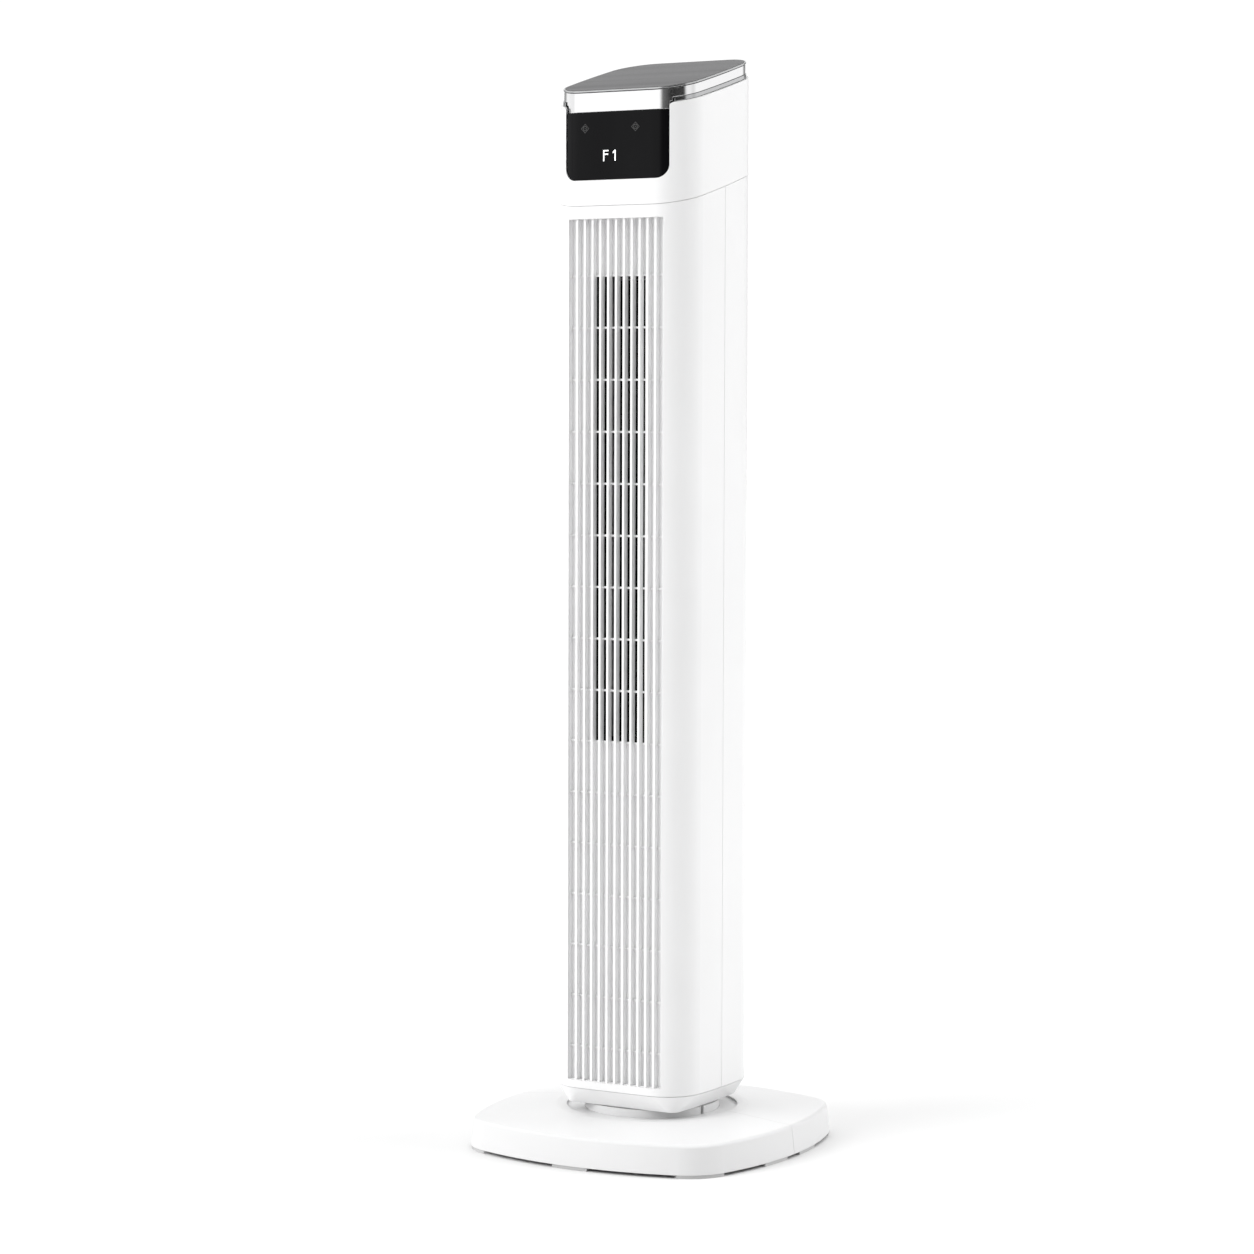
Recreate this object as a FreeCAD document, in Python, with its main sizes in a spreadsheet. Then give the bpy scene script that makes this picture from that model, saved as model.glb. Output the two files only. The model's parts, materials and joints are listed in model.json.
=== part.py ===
"""Tower fan on a turning column, as an assembly of separate pieces.

Millimetres. +Z up, the front faces -Y, the origin is on the floor under the middle of the base.
Every driving size is a cell of the Dimensions sheet. Places that follow from those sizes are
written once in PLACES, as expressions of the cells, and every sketch and feature is tied to them.
"""
import FreeCAD
import Part
import math
import os
import re
import Sketcher
from FreeCAD import Vector
from fcgear import fcgear, involute

SIZES = {
    # column casing, seen from above: straight front and rear, bowed sides, round corners
    "half_width": 73.4,
    "half_depth": 72.3,
    "corner": 35.6,
    "side_bow": 603.0,
    "casing_wall": 2.4,
    "seam_gap": 0.3,
    "half_seam": 0.15,
    # base, seen from above: four bowed sides with round corners
    "rim_gap": 3.0,
    "base_half": 145.9,
    "base_bow": 312.2,
    "base_corner": 43.7,
    "base_draft": 3.3,
    "base_wall_height": 26.0,
    "base_wall": 2.6,
    "base_edge": 3.2,
    "dome_rise": 5.8,
    "dome_half": 89.0,
    "dome_bow": 92.0,
    "dome_corner": 84.0,
    "trough_radius": 79.0,
    "trough_depth": 1.9,
    "foot_length": 36.0,
    "foot_width": 9.0,
    "foot_inset": 0.8,
    "side_foot_offset": 30.0,
    "corner_foot_half": 22.0,
    "foot_reach": 200.0,
    # pivot in the middle of the base
    "collar_radius": 62.3,
    "collar_height": 7.2,
    "collar_wall": 2.5,
    "collar_flange": 13.0,
    "collar_clearance": 0.2,
    "flange_gap": 1.7,
    "collar_slot": 3.5,
    "collar_slot_place": 13.7,
    "boss_circle": 50.0,
    "boss_radius": 5.0,
    "base_screw_head": 3.5,
    "base_screw_head_height": 1.8,
    "base_screw_radius": 1.5,
    "post_radius": 18.0,
    "post_bore": 13.0,
    "post_flange": 33.0,
    "post_screw_circle": 26.0,
    "post_top_rise": 13.2,
    "slip_inner": 40.0,
    "slip_outer": 48.0,
    "slip_height": 0.5,
    "skirt_gap": 0.8,
    # swing drive: a fixed gear on the post and a pinion that walks round it
    "gear_module": 1.0,
    "gear_teeth": 60.0,
    "pinion_teeth": 15.0,
    "gear_play": 0.25,
    "gear_height": 5.0,
    "gear_rise": 0.5,
    "pinion_shaft": 2.5,
    "pinion_shaft_depth": 6.0,
    "shaft_room": 1.0,
    "shaft_end_gap": 0.5,
    "pressure_angle": 20.0,
    "running_clearance": 0.05,
    "clip_height": 1.2,
    "clip_gap": 0.2,
    "clip_outer": 22.5,
    "clip_groove": 1.2,
    "bush_wall": 3.0,
    "bush_height": 4.9,
    "hub_wall": 4.0,
    "swing_motor_radius": 14.0,
    "swing_motor_height": 19.0,
    "swing_motor_ear": 17.5,
    "swing_ear_height": 1.2,
    "swing_ear_half": 3.5,
    # skirt under the column
    "skirt_height": 15.7,
    "skirt_taper": 12.9,
    "skirt_corner": 9.0,
    "skirt_floor": 2.4,
    "skirt_boss_place": 42.0,
    "skirt_boss_radius": 4.0,
    "chassis_height": 2.5,
    "chassis_drop": 1.3,
    "chassis_inset": 5.2,
    "chassis_hole": 24.0,
    "screw_head": 3.2,
    "screw_head_height": 1.6,
    "screw_radius": 1.4,
    "screw_depth": 8.0,
    "screw_end_gap": 1.0,
    # grille and air outlet
    "grille_half": 48.9,
    "grille_margin": 7.1,
    "grille_height": 783.4,
    "grille_frame": 6.0,
    "grille_lap": 5.0,
    "fin_count": 11.0,
    "fin_width": 2.0,
    "fin_depth": 6.4,
    "fin_setback": 0.1,
    "rib_height": 1.8,
    "rib_depth": 1.6,
    "rib_first": 30.7,
    "rib_pitch": 46.8,
    "outlet_wall": 2.0,
    "outlet_margin": 7.0,
    "window_rise": 311.4,
    "window_drop": 50.8,
    "window_half": 27.0,
    # rear air intake
    "intake_half": 36.0,
    "intake_rise": 316.0,
    "intake_drop": 57.4,
    "intake_corner": 6.0,
    "intake_gap": 0.3,
    "intake_flange": 4.0,
    "intake_flange_depth": 1.8,
    "intake_margin": 4.0,
    "louvre_pitch": 7.0,
    "louvre_slot": 4.0,
    "louvre_post": 2.4,
    # carrying grip in the rear
    "grip_half": 34.0,
    "grip_drop": 46.0,
    "grip_height": 32.0,
    "grip_depth": 26.0,
    "grip_wall": 2.2,
    "grip_corner": 9.0,
    # casing screws from the rear
    "screw_boss_place": 62.5,
    "screw_boss_radius": 4.4,
    "screw_well": 3.6,
    "screw_well_depth": 22.0,
    "low_screw_rise": 30.0,
    "middle_screw_rise": 200.0,
    "high_screw_drop": 27.0,
    # cross-flow impeller, its duct and its motor
    "impeller_offset": 14.0,
    "impeller_radius": 42.0,
    "blade_count": 32.0,
    "blade_ring": 9.0,
    "blade_thick": 1.1,
    "blade_lean": 26.0,
    "blade_set": 0.6,
    "disc_lap": 1.0,
    "impeller_disc": 1.8,
    "impeller_discs": 8.0,
    "impeller_hub": 9.0,
    "impeller_low_gap": 1.0,
    "impeller_high_gap": 3.0,
    "pin_radius": 4.0,
    "duct_low_gap": 6.0,
    "duct_high_gap": 4.0,
    "duct_wall": 2.0,
    "duct_plate_half": 56.0,
    "duct_scroll_gap": 5.0,
    "duct_scroll_turn": 62.0,
    "duct_tongue_place": 29.0,
    "duct_tongue_depth": 34.0,
    "duct_shaft_hole": 15.0,
    "coupling_radius": 11.0,
    "coupling_height": 10.0,
    "bearing_radius": 9.0,
    "bearing_height": 7.0,
    "holder_radius": 22.0,
    "bulkhead_drop": 74.0,
    "bulkhead_height": 3.0,
    "motor_radius": 38.0,
    "motor_height": 48.0,
    "motor_wall": 2.0,
    "motor_cap_height": 3.0,
    "motor_lug": 45.0,
    "motor_lug_radius": 8.0,
    "stator_radius": 22.0,
    "stator_height": 30.0,
    "stator_gap": 0.5,
    "stator_rise": 9.0,
    "rotor_height": 30.0,
    "motor_bearing_radius": 8.0,
    "motor_bearing_height": 5.0,
    "shaft_tail": 4.0,
    # electronics
    "board_thick": 1.6,
    "power_board_half": 40.0,
    "power_board_place": 32.0,
    "power_board_rise": 4.0,
    "power_board_height": 62.0,
    "transformer_left": -30.0,
    "transformer_width": 26.0,
    "transformer_rise": 8.0,
    "transformer_height": 24.0,
    "transformer_depth": 20.0,
    "capacitor_left": 8.0,
    "capacitor_width": 12.0,
    "capacitor_rise": 10.0,
    "capacitor_height": 18.0,
    "capacitor_depth": 13.0,
    "terminals_left": 26.0,
    "terminals_width": 10.0,
    "terminals_rise": 6.0,
    "terminals_height": 40.0,
    "terminals_depth": 8.0,
    "display_board_half": 44.0,
    "display_board_gap": 1.2,
    "display_board_margin": 4.0,
    "control_board_half": 42.0,
    "control_board_drop": 16.0,
    # head
    "head_margin": 11.5,
    "head_height": 102.8,
    "roof_slope": 0.2641,
    "head_shell_drop": 14.8,
    "ear_corner": 2.4,
    "fascia_half": 53.8,
    "fascia_low": 23.0,
    "fascia_corner": 12.0,
    "lens_gap": 0.4,
    "lens_inset": 1.2,
    "lens_height": 60.2,
    "band_gap": 0.5,
    "ear_gap": 1.3,
    "apron_lap": 0.9,
    "apron_corner": 1.4,
    "cap_band_inset": 3.0,
    "cap_band_height": 8.2,
    "slit": 1.7,
    "trim_inset": 2.2,
    "trim_corner": 1.6,
    "trim_gap": 0.3,
    "rim_shadow": 0.8,
    "rim_inset": 2.4,
    "rim_width": 1.5,
    "rim_set": 0.2,
    "panel_height": 1.6,
    "frame_inset": 5.6,
    "frame_wall": 2.4,
    "frame_margin": 6.0,
    "digit_height": 9.8,
    "digit_width": 5.4,
    "digit_stroke": 1.0,
    "digit_rise": 16.3,
    "digit_left": 12.6,
    "digit_pitch": 10.9,
    "digit_proud": 0.15,
    "arm_rise": 5.6,
    "arm_set_back": 0.4,
    "flag_width": 1.9,
    "flag_drop": 1.7,
    "flag_thick": 1.5,
    "mark_rise": 46.0,
    "left_mark": 31.6,
    "right_mark": 20.7,
    "mark_radius": 4.2,
    "mark_stroke": 0.5,
    "mark_ring": 2.2,
    # cord inlet
    "gland_rise": 12.0,
    "gland_radius": 6.0,
    "gland_flange": 8.0,
    "gland_bore": 3.6,
    "gland_flange_height": 1.4,
    "gland_length": 9.0,
    "gland_set": 0.2,
    # far beyond every outline, for cuts that clear one side
    "beyond": 400.0,
}

PLACES = {
    "shoulder": "rim_gap + base_wall_height",
    "crown": "shoulder + dome_rise",
    "trough": "crown - trough_depth",
    "base_low_half": "base_half + base_draft",
    "collar_top": "trough + collar_height",
    "collar_low": "trough - base_wall - collar_wall - flange_gap",
    "collar_ceiling": "collar_top - collar_wall",
    "base_screw_low": "collar_low - base_screw_head_height",
    "post_top": "collar_top + post_top_rise + skirt_gap",
    "slip_top": "collar_top + slip_height",
    "skirt_low": "collar_top + skirt_gap",
    "skirt_top": "skirt_low + skirt_height",
    "hub_top": "skirt_low + bush_height",
    "gear_low": "hub_top + gear_rise",
    "gear_top": "gear_low + gear_height",
    "clip_low": "gear_top + clip_gap",
    "clip_top": "clip_low + clip_height",
    "bush_inner": "post_radius + running_clearance",
    "bush_outer": "bush_inner + bush_wall",
    "hub_outer": "bush_outer + hub_wall",
    "pinion_place": "(gear_teeth + pinion_teeth) * gear_module / 2 + gear_play",
    "chassis_top": "skirt_top + chassis_drop",
    "chassis_low": "chassis_top - chassis_height",
    "shell_low": "skirt_top + seam_gap",
    "grille_low": "shell_low + grille_margin",
    "grille_high": "grille_low + grille_height",
    "head_front": "grille_high + head_margin",
    "roof_front": "head_front + head_height",
    "inner_half_depth": "half_depth - casing_wall",
    "fin_front": "-(inner_half_depth - fin_setback)",
    "fin_back": "fin_front + fin_depth",
    "fin_pitch": "2 * grille_half / (fin_count + 1)",
    "outlet_back": "fin_back + outlet_wall",
    "grille_side": "grille_half + grille_frame",
    "window_low": "grille_low + window_rise",
    "window_high": "grille_high - window_drop",
    "intake_low": "grille_low + intake_rise",
    "intake_high": "grille_high - intake_drop",
    "grip_low": "head_front - grip_drop + roof_slope * half_depth",
    "grip_high": "grip_low + grip_height",
    "impeller_low": "window_low + impeller_low_gap",
    "impeller_high": "window_high - impeller_high_gap",
    "duct_low": "window_low - duct_low_gap",
    "duct_high": "window_high + duct_high_gap",
    "duct_inner": "impeller_radius + duct_scroll_gap",
    "bulkhead_low": "window_low - bulkhead_drop",
    "motor_low": "bulkhead_low + bulkhead_height",
    "motor_high": "motor_low + motor_height",
    "stator_low": "motor_low + stator_rise",
    "bore_radius": "pin_radius + running_clearance",
    "rotor_radius": "stator_radius - stator_gap",
    "low_screw": "shell_low + low_screw_rise",
    "middle_screw": "shell_low + middle_screw_rise",
    "high_screw": "head_front - high_screw_drop",
    "power_board_low": "chassis_top + power_board_rise",
    "fascia_floor": "head_front + fascia_low",
    "lens_low": "fascia_floor + lens_gap",
    "lens_high": "lens_low + lens_height",
    "band_low": "lens_high + band_gap",
    "lens_front": "-(half_depth - lens_inset)",
    "display_board_front": "-(half_depth - frame_inset - frame_wall - display_board_gap)",
    "digit_low": "lens_low + digit_rise",
    "mark_place": "lens_low + mark_rise",
    "frame_low": "fascia_floor - frame_margin",
    "apron_side": "fascia_half + apron_lap",
    "slit_side": "apron_side + slit",
    "cap_band_top": "roof_front - panel_height - rim_shadow",
    "cap_band_low": "cap_band_top - cap_band_height",
    "gland_place": "rim_gap + gland_rise",
    "gland_face": "base_low_half - gland_set",
}

WORD = re.compile(r"[a-z_][a-z_0-9]*")
PIECES = []


def start_document():
    """Opens the document and fills the sheet, one named cell for each driving size."""
    document = FreeCAD.newDocument("tower_fan")
    cells = document.addObject("Spreadsheet::Sheet", "Dimensions")
    for row, (name, size) in enumerate(SIZES.items(), 1):
        cells.set("A%d" % row, name)
        cells.set("B%d" % row, str(size))
        cells.setAlias("B%d" % row, name)
    document.recompute()
    return document, cells


doc, sheet = start_document()


def tied(text):
    """Opens up the named places in an expression and ties its sizes to their cells."""
    def swap(match):
        word = match.group()
        if word in PLACES:
            return "(" + tied(PLACES[word]) + ")"
        if word in SIZES:
            return "Dimensions." + word
        return word
    return WORD.sub(swap, str(text))


def number(text):
    """The present value of an expression."""
    return float(sheet.evalExpression(tied(text)))


def new_body(label):
    """A body for one sub-part; it may hold several separate solids."""
    body = doc.addObject("PartDesign::Body", label)
    body.Label = label
    body.AllowCompound = True
    PIECES.append(body)
    return body


class Drawing:
    """A sketch on one of a body's own planes, with every size tied to the sheet."""

    def __init__(self, body, plane, offset):
        self.sketch = body.newObject("Sketcher::SketchObject", body.Name + "_sketch")
        origin_plane = next(f for f in body.Origin.OriginFeatures if f.Role == plane)
        self.sketch.AttachmentSupport = (origin_plane, [""])
        self.sketch.MapMode = "FlatFace"
        self.sketch.setExpression("AttachmentOffset.Base.z", tied(offset))

    def rule(self, kind, *places):
        """A relation with no size, such as tangent or equal."""
        self.sketch.addConstraint(Sketcher.Constraint(kind, *places))

    def dimension(self, kind, *places, size):
        """A dimension tied to an expression."""
        constraint = Sketcher.Constraint(kind, *places, number(size))
        index = self.sketch.addConstraint(constraint)
        self.sketch.setExpression("Constraints[%d]" % index, tied(size))

    def put(self, edge, vertex, across, up):
        """Ties a point of an edge to its place on the drawing."""
        for kind, axis, size in (("DistanceX", -2, across), ("DistanceY", -1, up)):
            if str(size) == "0":
                self.rule("PointOnObject", edge, vertex, axis)
            else:
                self.dimension(kind, -1, 1, edge, vertex, size=size)

    def circle(self, across, up, radius):
        centre = Vector(number(across), number(up), 0)
        edge = self.sketch.addGeometry(Part.Circle(centre, Vector(0, 0, 1), number(radius)), False)
        self.dimension("Radius", edge, size=radius)
        self.put(edge, 3, across, up)

    def polygon(self, corners):
        """A closed outline of straight lines through the given places."""
        spots = [Vector(number(across), number(up), 0) for across, up in corners]
        edges = []
        for index, spot in enumerate(spots):
            following = spots[(index + 1) % len(spots)]
            edges.append(self.sketch.addGeometry(Part.LineSegment(spot, following), False))
        for index, edge in enumerate(edges):
            self.rule("Coincident", edge, 2, edges[(index + 1) % len(edges)], 1)
            self.put(edge, 1, *corners[index])

    def box(self, left, right, low, high):
        self.polygon([(left, low), (right, low), (right, high), (left, high)])

    def rounded_box(self, left, right, low, high, radius):
        """A rectangle with four equal round corners."""
        x0, x1, y0, y1, r = [number(size) for size in (left, right, low, high, radius)]
        up = Vector(0, 0, 1)
        lines = [((x0 + r, y0), (x1 - r, y0)), ((x1, y0 + r), (x1, y1 - r)),
                 ((x1 - r, y1), (x0 + r, y1)), ((x0, y1 - r), (x0, y0 + r))]
        centres = [(x1 - r, y0 + r), (x1 - r, y1 - r), (x0 + r, y1 - r), (x0 + r, y0 + r)]
        edges = []
        for index, ((xa, ya), (xb, yb)) in enumerate(lines):
            straight = Part.LineSegment(Vector(xa, ya, 0), Vector(xb, yb, 0))
            edges.append(self.sketch.addGeometry(straight, False))
            ring = Part.Circle(Vector(*centres[index], 0), up, r)
            start = (index - 1) * math.pi / 2
            arc = Part.ArcOfCircle(ring, start, start + math.pi / 2)
            edges.append(self.sketch.addGeometry(arc, False))
        for index in range(8):
            self.rule("Tangent", edges[index], 2, edges[(index + 1) % 8], 1)
        for index in (3, 5, 7):
            self.rule("Equal", edges[1], edges[index])
        for index, kind in ((0, "Horizontal"), (4, "Horizontal"), (2, "Vertical"), (6, "Vertical")):
            self.rule(kind, edges[index])
        self.dimension("Radius", edges[1], size=radius)
        self.dimension("DistanceY", -1, 1, edges[0], 1, size=low)
        self.dimension("DistanceY", -1, 1, edges[4], 1, size=high)
        self.dimension("DistanceX", -1, 1, edges[2], 1, size=right)
        self.dimension("DistanceX", -1, 1, edges[6], 1, size=left)

    def bowed_box(self, half_wide, half_deep, bow, corner, straight):
        """Eight joined edges, anticlockwise from the right: bowed sides and round corners.

        With straight set, the rear and the front are straight lines instead of bows.
        """
        wide, deep, big, small = [number(size) for size in (half_wide, half_deep, bow, corner)]
        reach = big - small
        middle = wide - big
        if straight:
            py = deep - small
            px = middle + math.sqrt(reach ** 2 - py ** 2)
        else:
            px = py = (middle + math.sqrt(2 * reach ** 2 - middle ** 2)) / 2
        turn = math.atan2(py, px - middle)
        end_turn = 0.0 if straight else turn
        edges = []
        for quarter, centre in enumerate([(px, py), (-px, py), (-px, -py), (px, -py)]):
            facing = quarter * math.pi / 2
            at_end = quarter % 2 == 1
            outward = Vector(math.cos(facing), math.sin(facing), 0)
            if at_end and straight:
                side = outward.y
                line = Part.LineSegment(Vector(side * px, side * deep, 0), Vector(-side * px, side * deep, 0))
                edges.append(self.sketch.addGeometry(line, False))
            else:
                edges.append(self.arc(outward * ((deep if at_end else wide) - big), big,
                                      facing - turn, facing + turn))
            begin, finish = (end_turn, turn) if at_end else (turn, end_turn)
            edges.append(self.arc(Vector(*centre, 0), small, facing + begin, facing + math.pi / 2 - finish))
        for index in range(8):
            self.rule("Tangent", edges[index], 2, edges[(index + 1) % 8], 1)
        for index in (3, 5, 7):
            self.rule("Equal", edges[1], edges[index])
        self.rule("Equal", edges[0], edges[4])
        self.dimension("Radius", edges[1], size=corner)
        self.dimension("Radius", edges[0], size=bow)
        self.place_bows(edges[0], edges[4], half_wide, bow, "DistanceX", -1)
        if straight:
            for edge, size in ((edges[2], half_deep), (edges[6], "-(%s)" % half_deep)):
                self.rule("Horizontal", edge)
                self.dimension("DistanceY", -1, 1, edge, 1, size=size)
        else:
            self.rule("Equal", edges[0], edges[2])
            self.rule("Equal", edges[0], edges[6])
            self.place_bows(edges[2], edges[6], half_deep, bow, "DistanceY", -2)

    def arc(self, centre, radius, begin, finish):
        ring = Part.Circle(centre, Vector(0, 0, 1), radius)
        return self.sketch.addGeometry(Part.ArcOfCircle(ring, begin, finish), False)

    def place_bows(self, first, second, half, bow, kind, axis):
        """Two facing bows, each as far out as the half size says, with their centres on an axis."""
        for edge, size in ((first, "(%s) - (%s)" % (half, bow)), (second, "(%s) - (%s)" % (bow, half))):
            self.rule("PointOnObject", edge, 3, axis)
            self.dimension(kind, -1, 1, edge, 3, size=size)

    def casing(self, inset):
        """The column's outline, drawn in by an inset."""
        sizes = ["%s - (%s)" % (name, inset) for name in ("half_width", "half_depth", "side_bow", "corner")]
        self.bowed_box(*sizes, straight=True)

    def base(self, grow):
        """The base's outline at its shoulder, let out by an amount."""
        sizes = ["%s + (%s)" % (name, grow) for name in ("base_half", "base_half", "base_bow", "base_corner")]
        self.bowed_box(*sizes, straight=False)


def top_view(body, height):
    return Drawing(body, "XY_Plane", height)


def front_view(body, depth):
    """A drawing that stands at a depth along Y; a pad from it comes forward, towards -Y."""
    return Drawing(body, "XZ_Plane", "-(%s)" % depth)


def side_view(body):
    return Drawing(body, "YZ_Plane", "0")


def pad(body, drawing, length, back=False):
    feature = body.newObject("PartDesign::Pad", body.Name + "_pad")
    feature.Profile = drawing.sketch
    feature.Reversed = back
    feature.setExpression("Length", tied(length))
    return feature


def pocket(body, drawing, length=None, back=False, both=False):
    """Cuts a drawing into the body, all the way through when it has no length."""
    feature = body.newObject("PartDesign::Pocket", body.Name + "_pocket")
    feature.Profile = drawing.sketch
    feature.Reversed = back
    if length is None:
        feature.Type = "ThroughAll"
        if both:
            feature.SideType = "Symmetric"
    else:
        feature.setExpression("Length", tied(length))
    return feature


def loft(body, low, high, cut=False):
    """Straight-sided material, or a hollow, between two drawings."""
    kind = "PartDesign::SubtractiveLoft" if cut else "PartDesign::AdditiveLoft"
    feature = body.newObject(kind, body.Name + "_loft")
    feature.Profile = low.sketch
    feature.Sections = [high.sketch]
    return feature


def round_edges(body, radius, chosen):
    """Rounds the edges that a test picks from the body as it stands."""
    doc.recompute()
    base = body.Tip
    names = ["Edge%d" % (index + 1) for index, edge in enumerate(base.Shape.Edges) if chosen(edge)]
    feature = body.newObject("PartDesign::Fillet", body.Name + "_fillet")
    feature.Base = (base, names)
    feature.setExpression("Radius", tied(radius))
    return feature


def level_edge(height):
    """A test for edges that lie wholly at one height."""
    level = number(height)
    return lambda edge: abs(edge.BoundBox.ZMin - level) < 0.01 and abs(edge.BoundBox.ZMax - level) < 0.01


def rings(body, low, height, circles):
    """A pad between two heights whose outline is circles: (across, deep, radius) each."""
    drawing = top_view(body, low)
    for circle in circles:
        drawing.circle(*circle)
    return pad(body, drawing, height)


def tube(body, low, high, outer, inner=None, across="0", deep="0"):
    """A round bar, or a tube when it has an inner radius, between two heights."""
    circles = [(across, deep, outer)]
    if inner is not None:
        circles.append((across, deep, inner))
    return rings(body, low, "(%s) - (%s)" % (high, low), circles)


def drill(body, high, depth, holes):
    """Round holes down from a height: (across, deep, radius) each."""
    drawing = top_view(body, high)
    for hole in holes:
        drawing.circle(*hole)
    return pocket(body, drawing, depth)


def casing_ring(body, outer_inset, wall, low, high):
    """A wall that follows the column's outline between two heights."""
    drawing = top_view(body, low)
    drawing.casing(outer_inset)
    drawing.casing("(%s) + (%s)" % (outer_inset, wall))
    return pad(body, drawing, "(%s) - (%s)" % (high, low))


def trim_to_casing(body, inset):
    """Cuts away all that stands outside the column's outline drawn in by an inset."""
    drawing = top_view(body, "0")
    drawing.box("-beyond", "beyond", "-beyond", "beyond")
    drawing.casing(inset)
    return pocket(body, drawing, both=True)


def cut_across_slope(body, front_height, above):
    """Cuts away all above, or all below, a plane that rises to the rear like the roof."""
    drawing = side_view(body)
    front = "%s - roof_slope * (beyond - half_depth)" % front_height
    rear = "%s + roof_slope * (beyond + half_depth)" % front_height
    far = "2 * beyond" if above else "-(2 * beyond)"
    drawing.polygon([("-beyond", front), ("beyond", rear),
                     ("beyond", "(%s) + (%s)" % (rear, far)), ("-beyond", "(%s) + (%s)" % (front, far))])
    return pocket(body, drawing, both=True)


def cut_block(body, left, right, front, rear):
    """Cuts away a block of full height, given by its sides seen from above."""
    drawing = top_view(body, "0")
    drawing.box(left, right, front, rear)
    return pocket(body, drawing, both=True)


def four_ways(place):
    """The four corners at one place each way."""
    return [(x, y) for x in (place, "-" + place) for y in (place, "-" + place)]


# ---- base ----

def base_half_shell(label, is_front):
    """Half of the base cover: drafted walls, a low dome, and a trough round the collar."""
    body = new_body(label)
    low, shoulder, crown = top_view(body, "rim_gap"), top_view(body, "shoulder"), top_view(body, "crown")
    low.base("base_draft")
    shoulder.base("0")
    crown.bowed_box("dome_half", "dome_half", "dome_bow", "dome_corner", straight=False)
    loft(body, low, shoulder)
    loft(body, shoulder, crown)
    round_edges(body, "base_edge", level_edge("shoulder"))
    drill(body, "crown", "trough_depth", [("0", "0", "trough_radius")])
    inner_low, inner_shoulder = top_view(body, "rim_gap"), top_view(body, "shoulder - base_wall")
    inner_crown = top_view(body, "trough - base_wall")
    inner_low.base("base_draft - base_wall")
    inner_shoulder.base("-base_wall")
    inner_crown.bowed_box(*["%s - base_wall" % size for size in ("dome_half", "dome_half", "dome_bow",
                                                                 "dome_corner")], straight=False)
    loft(body, inner_low, inner_shoulder, cut=True)
    loft(body, inner_shoulder, inner_crown, cut=True)
    bosses = [(x, y, "boss_radius") for x, y in four_ways("boss_circle")]
    rings(body, "collar_low + collar_wall", "flange_gap + base_wall / 2", bosses)
    drawing = top_view(body, "0")
    drawing.circle("0", "0", "collar_radius + collar_clearance")
    pocket(body, drawing, both=True)
    holes = [(x, y, "base_screw_radius") for x, y in four_ways("boss_circle")]
    drill(body, "trough - base_wall / 2", "base_wall + flange_gap", holes)
    if is_front:
        cut_block(body, "-beyond", "beyond", "-half_seam", "beyond")
    else:
        cut_block(body, "-beyond", "beyond", "-beyond", "half_seam")
        seat = "gland_face - gland_flange_height"
        for depth, radius in (("half_depth", "gland_radius"), (seat, "gland_flange")):
            drawing = front_view(body, depth)
            drawing.circle("0", "gland_place", radius)
            pocket(body, drawing)
    return body


def foot_pads():
    """Ten pads under the rim: the middle of the front and rear, two each side, and the corners."""
    body = new_body("foot_pads")
    drawing = top_view(body, "0")
    start = "base_half - 2 * foot_width"
    half = "foot_length / 2"
    drawing.box("-(%s)" % half, half, "-foot_reach", "-(%s)" % start)
    drawing.box("-(%s)" % half, half, start, "foot_reach")
    for side in ("", "-"):
        for middle in ("side_foot_offset", "-side_foot_offset"):
            ends = ["%s(%s)" % (side, start), "%sfoot_reach" % side]
            drawing.box(*ends, "%s - %s" % (middle, half), "%s + %s" % (middle, half))
    for x, y in ((1, 1), (-1, 1), (-1, -1), (1, -1)):
        corners = []
        for along, aside in (("base_half", -1), ("foot_reach", -1), ("foot_reach", 1), ("base_half", 1)):
            across = "%d * (%s - %d * corner_foot_half) / sqrt(2)" % (x, along, x * y * aside)
            deep = "%d * (%s + %d * corner_foot_half) / sqrt(2)" % (y, along, x * y * aside)
            corners.append((across, deep))
        drawing.polygon(corners)
    pad(body, drawing, "rim_gap")
    outside = top_view(body, "0")
    outside.box("-beyond", "beyond", "-beyond", "beyond")
    outside.base("base_draft - foot_inset")
    pocket(body, outside, both=True)
    inside = top_view(body, "0")
    inside.base("base_draft - foot_inset - foot_width")
    pocket(body, inside, both=True)
    return body


def base_screws():
    """Four screws from below that hold the cover halves to the collar's flange."""
    body = new_body("base_screws")
    corners = four_ways("boss_circle")
    rings(body, "base_screw_low", "base_screw_head_height", [(x, y, "base_screw_head") for x, y in corners])
    rings(body, "collar_low", "collar_wall + flange_gap", [(x, y, "base_screw_radius") for x, y in corners])
    return body


def collar():
    """The raised collar that the column turns on, with its flange under the base cover."""
    body = new_body("collar")
    tube(body, "collar_low", "collar_top", "collar_radius")
    tube(body, "collar_low", "collar_low + collar_wall", "collar_radius + collar_flange")
    drill(body, "collar_ceiling", "collar_ceiling - collar_low", [("0", "0", "collar_radius - collar_wall")])
    holes = [("0", "0", "post_radius")]
    holes += [(x, y, "base_screw_radius") for x, y in four_ways("boss_circle")]
    holes += [(x, y, "screw_radius") for x, y in post_screw_places()]
    drawing = top_view(body, "0")
    for hole in holes:
        drawing.circle(*hole)
    pocket(body, drawing, both=True)
    drawing = top_view(body, "collar_top")
    drawing.box("collar_radius - 2 * collar_wall", "beyond", "-(collar_slot_place + collar_slot / 2)",
                "-(collar_slot_place - collar_slot / 2)")
    pocket(body, drawing, "collar_height")
    return body


def post_screw_places():
    """Three places round the post's flange."""
    return [("post_screw_circle * cos(%d)" % angle, "post_screw_circle * sin(%d)" % angle)
            for angle in (90, 210, 330)]


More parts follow.
